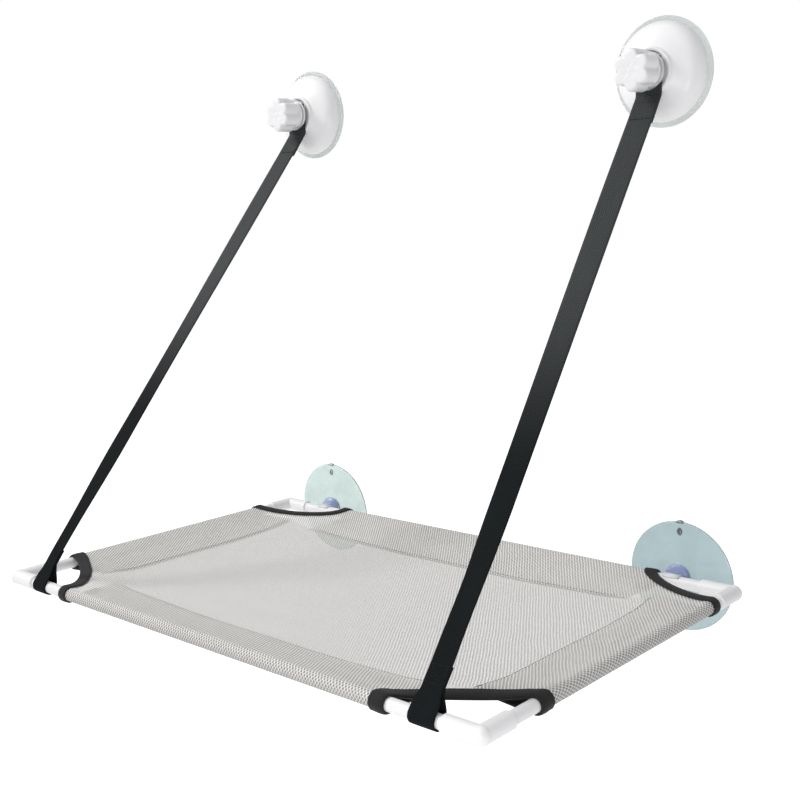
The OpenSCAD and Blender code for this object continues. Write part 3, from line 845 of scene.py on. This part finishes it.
# the run from the bend touches the loop: its angle to that line, lean, length, outward and upward ways
TURN = asin(LOOP_OUT / RUN)
LEAN = atan2(TOP_Y - FRONT_Y, BEND_Z - RISE) + TURN
RUN_LEN = RUN * cos(TURN)
OUT = np.array([-cos(LEAN), sin(LEAN)])
UP = np.array([sin(LEAN), cos(LEAN)])
LOOP_C = np.array([FRONT_Y, RISE])
# the bend's radius, the hole for the stud, half the sewn box, and how far its stitches stand proud
BEND_R, EYELET_R, BOX, PROUD = 4.0, 4.3, 10.0, 0.05


def strap_x(side, on_run):
    """Place across of the strap's middle, from the mount at 0 to the loop at 1."""
    return side * (UPPER_X + (LOOP_X - UPPER_X) * on_run)


def run_point(depth, up):
    """A point depth below the strap's outer face and up along the run from the front tube, as (y, z)."""
    return LOOP_C + OUT * (LOOP_OUT - depth) + UP * up


def strap_line():
    """The webbing's middle line as (y, z): folded end, top fold, run, loop and sewn tail."""
    half = STRAP_T / 2
    bend_out = (TOP_Y + half, BEND_Z + 0.28)
    bend_in = (TOP_Y + half + STRAP_T, BEND_Z + 0.8)
    top = UPPER_Z + STRAP_W / 2 - half
    line = [run_point(half + STRAP_T, RUN_LEN - FOLD), bend_in, (bend_in[0], top)]
    line += [(bend_out[0], top), bend_out]
    line = list(fillet(line, [0, BEND_R, half, half, 0], 6)[:-1])
    down = fillet([line[-1], bend_out, run_point(half, RUN_LEN - 20)], [0, BEND_R, 0], 7)
    line += list(down[1:]) + [run_point(half, 40), run_point(half, 0)]
    r = LOOP_OUT - half
    meet = np.array([-(LOOP_OUT - STRAP_T - half), TAIL - SEWN])
    last = atan2(meet[1], meet[0]) + 2 * pi - acos(r / np.hypot(*meet))
    turn = np.linspace(pi, last, 22)[1:]
    line += [LOOP_C - OUT * r * cos(a) + UP * r * sin(a) for a in turn]
    return np.array(line + [run_point(half + STRAP_T, up) for up in (TAIL - SEWN, TAIL)])


def strap_samples():
    """Distances, places (y, z) and directions along the strap's middle line."""
    line = strap_line()
    s = along_line(line)
    at = np.unique(np.round(np.concatenate([s, np.arange(0, s[-1], 3.0)]), 3))
    keep = [at[0]]
    for value in at[1:]:
        if value - keep[-1] > 0.12:
            keep.append(value)
    at = np.array(keep)
    yz = np.stack([np.interp(at, s, line[:, k]) for k in (0, 1)], -1)
    way = np.gradient(yz, at, axis=0)
    way /= np.linalg.norm(way, axis=1)[:, None]
    return at, yz, way


# shares of its width that the webbing loses above both loops, and in the left loop
GATHER, LOOP_GATHER = 0.22, 0.16


def gathered(up, side):
    """The share of its width that the webbing keeps near the tube, and in the left loop."""
    near = ramp(up, 6, 16) * ramp(up, 150, 50)
    loop = ramp(up, 140, 40) * (side < 0)
    return (1 - GATHER * eased(near)) * (1 - LOOP_GATHER * eased(loop))


# half the webbing's section, a little inside its nominal size
HALF_STRAP_W, HALF_STRAP_T = STRAP_W / 2 - 0.1, STRAP_T / 2 - 0.05
# points across one face of the webbing
FACE_SHARES = np.linspace(-1, 1, 13)


def strap_section():
    """Section of the webbing as (across, out), thinner towards its rounded edges."""
    half = [(HALF_STRAP_W * t, HALF_STRAP_T * (1 - 0.10 * abs(t) ** 6)) for t in FACE_SHARES]
    half += [(HALF_STRAP_W + 0.25, HALF_STRAP_T * share) for share in (0.45, -0.45)]
    return np.concatenate([half, -np.array(half)])


def cut_eyelet(piece, side):
    """Cuts the stud's hole through both layers at the hub."""
    eyelet = [(0, LAY - 3), (EYELET_R, LAY - 3), (EYELET_R, LAY + 7), (0, LAY + 7)]
    hole = Build().lathe(eyelet, side * UPPER_X, UPPER_Z, 40).make(piece.name + "_hole", WEB, merge=0.01)
    cut = piece.modifiers.new("hole", "BOOLEAN")
    cut.operation, cut.object, cut.solver = "DIFFERENCE", hole, "EXACT"
    bpy.context.view_layer.update()
    done = bpy.data.meshes.new_from_object(piece.evaluated_get(bpy.context.evaluated_depsgraph_get()))
    piece.modifiers.clear()
    piece.data = done
    bpy.data.objects.remove(hole)


def strap(name, side):
    """The webbing from its folded end at the hub to its sewn tail."""
    at, yz, way = strap_samples()
    up = (yz - LOOP_C) @ UP
    on_run = ramp(up, RUN_LEN, TAIL)
    x = strap_x(side, on_run)
    slant = atan((LOOP_X - UPPER_X) / (RUN_LEN - TAIL))
    slant = slant * ramp(on_run, 0, 1 / 12) * ramp(on_run, 1, 11 / 12)
    # the webbing twists a little between hub and loop, about its right edge on the right
    most, peak, pivot = (9.0, 0.85, HALF_STRAP_W) if side > 0 else (6.0, 0.6, 0.0)
    twist = radians(most) * eased(np.minimum(ramp(on_run, 0.15, peak), ramp(on_run, 1, peak)))
    gather = gathered(up, side)
    section = strap_section()
    rows = []
    for i in range(len(at)):
        y, z = way[i]
        run, face = np.array([0, y, z]), np.array([0, z, -y])
        # the slant's sign follows the way that the strap goes
        sign = side * np.sign(-z or 1)
        wide = np.array([cos(slant[i]), 0, 0]) - sign * sin(slant[i]) * run
        sense = 1.0 if face[1:] @ OUT > 0 else -1.0
        ct, st = cos(twist[i]), sin(twist[i]) * sense
        turned, up_face = wide * ct + face * st, face * ct - wide * st
        centre = np.array([x[i], *yz[i]]) + (wide - turned) * pivot
        rows.append([centre + turned * (a * gather[i]) + up_face * b for a, b in section])
    build = Build().grid(rows, pairs(np.append(section[:, 0], section[0, 0]), at), ring=True)
    n = len(FACE_SHARES)
    for end, flip in ((0, False), (-1, True)):
        flat_end = [rows[end][:n], rows[end][n + 2 : 2 * n + 2][::-1]]
        build.grid(flat_end, pairs(FACE_SHARES * HALF_STRAP_W, [0, STRAP_T]), flip=flip)
    piece = build.make(name, WEB)
    cut_eyelet(piece, side)
    return piece


def strap_sewing(name, side):
    """Box and cross over the tail, and two bars under the fold at the top."""
    build = Build()
    out = np.array([0, *OUT])

    def on_face(u, up, depth):
        across = strap_x(side, ramp(up, RUN_LEN, TAIL)) + u * gathered(up, side) * 0.92
        return np.array([across, *run_point(depth, up)])

    def bar(points, depth, way):
        line = resample([on_face(u, up, depth) for u, up in points], 1.5)
        stitches(build, line, way, pitch=2.7, length=2.2, thick=0.34)

    low, high = TAIL - SEWN + 0.5, TAIL - 1.5
    for depth, way in ((-PROUD, out), (2 * STRAP_T + PROUD, -out)):
        a, b, c, d = (-BOX, low), (BOX, low), (BOX, high), (-BOX, high)
        for first, last in ((a, b), (b, c), (c, d), (d, a), (a, c), (b, d)):
            bar([first, last], depth, way)
        for up in (RUN_LEN - 6, RUN_LEN - FOLD + 3):
            bar([(-BOX - 0.5, up), (BOX + 0.5, up)], depth, way)
    return build.make(name, DARK_THREAD, merge=None)


for hand, side in SIDES.items():
    piece = strap(f"{hand}_webbing", side)
    sewing = strap_sewing(f"{hand}_webbing_stitching", side)
    for obj in (piece, sewing):
        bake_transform(obj)
    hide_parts(f"{hand}_strap", f"{hand}_strap_loop")


# Mounts

# the radius of a turned piece's points on its axis
AXIS = 0.001
# cover: radius, wall, foot and height, its hub's radius, ring and floor, the stud's bore, and its curve:
# the skirt's top, the shoulder, and its end on the cone
COVER_R, COVER_WALL, COVER_FOOT, COVER_H = 39.5, 2.0, 2.5, 23.0
HUB_R, HUB_RING, HUB_FLOOR, COVER_BORE = 18.5, 3.0, 20.4, 4.05
SKIRT_TOP, SHOULDER, CONE_SHARE = 3.98, (38.0, 12.4), 0.42


def cover_profile():
    """Bore, hub ring, cone, shoulder and skirt, and back along the inside."""
    t = np.linspace(0, 1, 12)[:, None]
    skirt, shoulder = np.array([COVER_R, SKIRT_TOP]), np.array(SHOULDER)
    on_cone = shoulder + CONE_SHARE * (np.array([HUB_R, HUB_FLOOR]) - shoulder)
    outer = skirt * (1 - t) ** 2 + shoulder * 2 * t * (1 - t) + on_cone * t * t
    ring, under = HUB_R - HUB_RING, HUB_FLOOR - COVER_WALL
    line = [[COVER_BORE, under], [COVER_BORE, HUB_FLOOR], [ring, HUB_FLOOR], [ring, COVER_H]]
    line += [[HUB_R, COVER_H], [HUB_R, HUB_FLOOR + 0.1], *outer[::-1]]
    line += [[COVER_R, COVER_FOOT], [COVER_R - COVER_WALL, COVER_FOOT]]
    line += [*(outer - [COVER_WALL, 1.4]), [HUB_R - 1, under], [COVER_BORE, under]]
    radii = [0, 0.3, 0.8, 0.9, 1.1, 1.6] + [0.0] * 12 + [0.5, 0.5] + [0.0] * 14
    return fillet(line, radii, 6)


def cover(name, x, z):
    return Build().lathe(cover_profile()[::-1], x, z, 144).make(name, WHITE)


# knob: distance from the window, height and collar, its core and lobes, and how far in its face's dish starts
KNOB_LAY, KNOB_H, COLLAR_H, COLLAR_R = 28.2, 18.0, 6.0, 13.2
LOBES, CORE_R, LOBE_OFF, LOBE_R, DISH_IN = 6, 12.7, 10.5, 6.0, 8.0
# the bore for the stud and the pocket for the insert: radius, depth
BORE, POCKET = (4.2, 21), (7.7, 7.1)
# flat coordinates once round the knob
KNOB_ROUND = 107


def knob_outline(turn):
    """Radius of the lobed outline at each angle, with its corners smoothed."""
    out = np.full_like(turn, CORE_R)
    for k in range(LOBES):
        off = turn - pi / 2 - k * 2 * pi / LOBES
        reach = LOBE_R**2 - (LOBE_OFF * np.sin(off)) ** 2
        hit = LOBE_OFF * np.cos(off) + np.sqrt(np.maximum(reach, 0))
        out = np.maximum(out, np.where((reach > 0) & (np.cos(off) > 0), hit, 0))
    wide = np.concatenate([out[-3:], out, out[:3]])
    return np.convolve(wide, np.array([1, 2, 3, 4, 3, 2, 1]) / 16, "valid")


def knob(name, x, z):
    """Lobed knob with its collar and bore and a dished face."""
    segments = 216
    turn = once_round(segments)
    lobed = knob_outline(turn)
    rings = []

    def ring(radius, h):
        rings.append(np.stack([radius * np.cos(turn), radius * np.sin(turn), 0 * turn + KNOB_LAY + h], -1))

    inside = [(0, BORE[1]), BORE, (BORE[0], POCKET[1]), POCKET, (POCKET[0], 0)]
    inside += [(COLLAR_R, 0), (COLLAR_R, COLLAR_H - 0.1)]
    for r, h in fillet(inside, [0, 0.3, 0.3, 0, 0, 0.5, 0], 4):
        ring(np.full(segments, max(r, 1e-4)), h)
    outside = [(4.0, 0.0), (0.0, 0.0), (0.0, KNOB_H), (DISH_IN, KNOB_H)]
    for inset, h in fillet(outside, [0, 1.0, 3.2, 0], 9):
        ring(np.maximum(lobed - inset, 0.01), COLLAR_H + h)
    for s in (0.8, 0.6, 0.4, 0.2, 0.0001):
        ring((lobed - DISH_IN) * s, COLLAR_H + KNOB_H - 0.35 * sin(pi * s) ** 2)
    rings = np.array(rings)
    steps = np.abs(np.diff(rings[:, 0, 2])) + np.abs(np.diff(rings[:, 0, 0]))
    uv = pairs(np.linspace(0, KNOB_ROUND, segments + 1), np.concatenate([[0], np.cumsum(steps)]))
    return Build().grid(on_window(rings, x, z), uv, ring=True).make(name, KNOB)


# lower cup: its radius and edge, and its boss, neck and head, each as (radius, top)
LOWER_R, LOWER_EDGE, LOWER_DOME = 48.5, 1.3, 1.7
BOSS, NECK, HEAD = (11, 5.6), (3.5, 7.2), (5, 8.8)


def disc(name, x, z):
    """Lower cup: a soft disc with a boss and head, gently domed."""
    top = [(r, 1.75 + 1.6 * (1 - ((r - 16) / 31) ** 2)) for r in np.linspace(16, 46.5, 12)]
    below = [(r, LOWER_DOME * (1 - (r / 48.0) ** 2)) for r in (46, 40, 32, 24, 16, 8, AXIS)]
    line = [(AXIS, HEAD[1]), HEAD, (HEAD[0], NECK[1]), NECK, (NECK[0], BOSS[1]), BOSS, (11.6, 3.7)]
    line += [*top, (LOWER_R - 0.9, 1.7), (LOWER_R, LOWER_EDGE), (LOWER_R, 0.0), *below]
    radii = [0, 0.5, 0.3, 0.2, 0.2, 1.4, 2.0] + [0.0] * 12 + [0.5, 0.5, 0.3] + [0.0] * 7
    return Build().lathe(fillet(line, radii, 5)[::-1], x, z, 144).make(name, CUP)


# recess: half width, half height and place, and its rings as (share, distance from the window)
RECESS_W, RECESS_L, RECESS_AT = 2.1, 2.9, 40
RECESS_RINGS = ((AXIS, 2.42), (0.7, 2.45), (0.85, 2.7), (1.0, 2.75), (1.15, 2.5), (1.2, 2.0), (AXIS, 2.0))


def recess(name, x, z):
    """A dark oval with a low lip: painted shade that stands in for the shadowed recess of the lower cup."""
    turn = once_round(24)
    across, up = RECESS_W * np.cos(turn), RECESS_L * np.sin(turn)
    rows = [np.column_stack([s * across, RECESS_AT + s * up, 0 * turn + h]) for s, h in RECESS_RINGS]
    return Build().grid(on_window(rows, x, z), ring=True).make(name, CUP_PAINTED_SHADE)


# clip: its dome as (radius, distance from the window), and its jaws' opening and section as (across, radius)
DOME = [(AXIS, 5.75), (12.3, 5.75), (12.3, 7.2), (11.2, 9.0), (8.6, 10.3), (4.0, 10.9), (AXIS, 11.0)]
DOME_RADII = [0, 0.3, 1.5, 2.0, 3.0, 4.0, 0]
MOUTH = radians(48)
JAW = [(-7.2, 5.15), (-7.5, 5.6), (-7.2, 6.35), (7.2, 6.35), (7.5, 5.6), (7.2, 5.15)]


def clip(name, x, z):
    """Snap clip: a tinted dome on the cup's head and two thin jaws round the back tube."""
    build = Build().lathe(fillet(DOME, DOME_RADII, 6)[::-1], x, z, 72)
    rows = []
    for turn in np.linspace(MOUTH, 2 * pi - MOUTH, 49):
        c, n = cos(turn), sin(turn)
        rows.append([(u, r * n, TUBE_OFF + r * c) for u, r in JAW])
    ends = [[tuple(np.mean(row, 0))] * 6 for row in (rows[0], rows[-1])]
    return build.grid(on_window([ends[0], *rows, ends[1]], x, z), ring=True).make(name, CLIP)


# nub: half width, reach and place, and its faces' distances from the window
NUB_W, NUB_OUT, NUB_AT, NUB_LOW, NUB_TOP = 3.6, 2.1, 48.0, 0.3, 2.6


def nub(name, x, z):
    """The end of the pull tab that stands past the lower cup's rim."""
    t = np.linspace(0, pi, 15)
    rows = []
    rim = [(-1.2, NUB_LOW), (0.0, NUB_LOW), (0.0, NUB_TOP), (-1.2, NUB_TOP)]
    for grow, h in fillet(rim, [0, 0.5, 0.6, 0], 5):
        wide, tall = NUB_W + grow, NUB_OUT + grow
        arc = np.stack([wide * np.cos(t), NUB_AT + tall * np.sin(t)], -1)
        foot = np.array([[-wide, NUB_AT - 0.6], [wide, NUB_AT - 0.6]])
        rows.append(np.column_stack([np.concatenate([arc, foot]), np.full(17, h)]))
    caps = [np.tile([0, NUB_AT + 0.2, h], (17, 1)) for h in (NUB_LOW, NUB_TOP)]
    rows = [caps[0], *rows, caps[1]]
    return Build().grid(on_window(rows, x, z), ring=True).make(name, CUP)


# function, end of the piece's name, body, slot, and the solid that it replaces
LOWER_PIECES = (
    (disc, "disc", "mounts", "clear_cup", "lower_{}_cup"),
    (clip, "snap_clip", "mounts", "clip_plastic", "lower_{}_clip"),
    (recess, "disc_recess", "mounts", "clear_cup", None),
    (nub, "disc_nub", "mounts", "clear_cup", None),
)
UPPER_PIECES = (
    (cover, "hub_cover", "mounts", "white_plastic", "upper_{}_cover"),
    (knob, "grip", "{}_knob", "white_plastic", "upper_{}_knob"),
)
for pieces, mount_x, z in ((LOWER_PIECES, LOWER_X, 0), (UPPER_PIECES, UPPER_X, UPPER_Z)):
    for hand, side in SIDES.items():
        for maker, ending, body, slot, solid in pieces:
            piece = maker(f"{hand}_{ending}", side * mount_x, z)
            if solid:
                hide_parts(solid.format(hand))
            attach(piece, body.format(hand))

# Solids that no piece replaces: finishes and rounded edges, by the last word of the name
FINISH = {"tube": COAT, "elbow": ELBOW, "cup": RIM, "washer": STEEL, "stud": STEEL, "insert": BRASS}
ROUND = {"cup": 0.4, "washer": 0.2, "elbow": 0.25}
for name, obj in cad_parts.items():
    kind = name.split("_")[-1]
    if kind not in FINISH:
        continue
    obj.data.materials.clear()
    obj.data.materials.append(FINISH[kind])
    obj.data.polygons.foreach_set("use_smooth", [True] * len(obj.data.polygons))
    if kind in ROUND:
        bevel = obj.modifiers.new("round", "BEVEL")
        bevel.width, bevel.segments = ROUND[kind] * MM, 3
        bevel.limit_method, bevel.angle_limit = "ANGLE", radians(35)
    obj.modifiers.new("weight", "WEIGHTED_NORMAL")

# Stage, in millimetres for the floor and in metres for the lights and the camera
FLOOR_REACH, FLOOR_Z = 9000.0, -620.0
spots = pairs(*[np.linspace(-FLOOR_REACH, FLOOR_REACH, 13)] * 2)
floor_build = Build().grid(np.dstack([spots, np.full((13, 13), FLOOR_Z)]), spots)
# the camera sees the floor as bright as the background, and it lights the part less
m = Mat("floor")
at = m.object_at()
path = m.node("LightPath")
seen = m.maths("MAXIMUM", path.outputs["Is Camera Ray"], path.outputs["Is Transmission Ray"])
paint = m.surface(
    Base_Color=m.mix(m.noise(at, 3, 4, 0.6), grey(0.93), grey(0.91)),
    Roughness=0.9,
    Normal=m.bump(m.noise(at, 160, 3, 0.6), 0.1, 0.001),
    Emission_Color=grey(1),
    Emission_Strength=m.span(seen, 0, 1, 0.2, 0.66),
)
floor_build.make("floor", paint)

scene = bpy.context.scene
m = Mat("studio", world=True)
path = m.node("LightPath").outputs["Is Camera Ray"]
sky = m.node("Background", {"Color": rgb(0.97, 0.985, 1.0), "Strength": 0.48}).outputs[0]
backdrop = m.node("Background", {"Color": grey(1), "Strength": 1.0}).outputs[0]
scene.world = m.done(m.blend(path, sky, backdrop))


def area_light(name, at, target, size, power, colour):
    """A round soft light. power is in watts."""
    data = bpy.data.lights.new(name, "AREA")
    data.shape, data.size, data.energy, data.color = "DISK", size, power, colour
    obj = add(name, data)
    obj.location = at
    obj.rotation_mode = "QUATERNION"
    obj.rotation_quaternion = (Vector(target) - Vector(at)).to_track_quat("-Z", "Y")


area_light("key", (-1.5, -1.32, 1.84), (0, -0.15, 0.2), 0.8, 36.5, (1.0, 0.99, 0.97))
area_light("fill", (1.9, -1.0, 0.9), (0, -0.15, 0.15), 1.6, 0.5, (0.95, 0.98, 1.0))
area_light("top", (-0.2, -0.45, 2.3), (0, -0.3, 0.0), 1.4, 6.0, (1.0, 0.99, 0.98))
area_light("front", (0.62, -0.9, 0.05), (0.26, -0.34, 0.0), 0.3, 1.8, (1.0, 1.0, 1.0))

# the photograph's camera, solved from the frame's corners and the mounts: place, and angles in degrees
EYE, YAW, PITCH, ROLL = (0.6820, -0.8587, 0.3431), 42.52, 10.41, -3.38
camera_data = bpy.data.cameras.new("camera")
camera_data.sensor_width, camera_data.lens = 36.0, 51.9
camera_data.clip_start, camera_data.clip_end = 0.02, 60.0
camera = scene.camera = add("camera", camera_data)
pose = Matrix.Translation(EYE)
for angle, axis in ((YAW, "Z"), (90 - PITCH, "X"), (ROLL, "Z")):
    pose = pose @ Matrix.Rotation(radians(angle), 4, axis)
camera.matrix_world = pose

scene.view_settings.view_transform = "Standard"
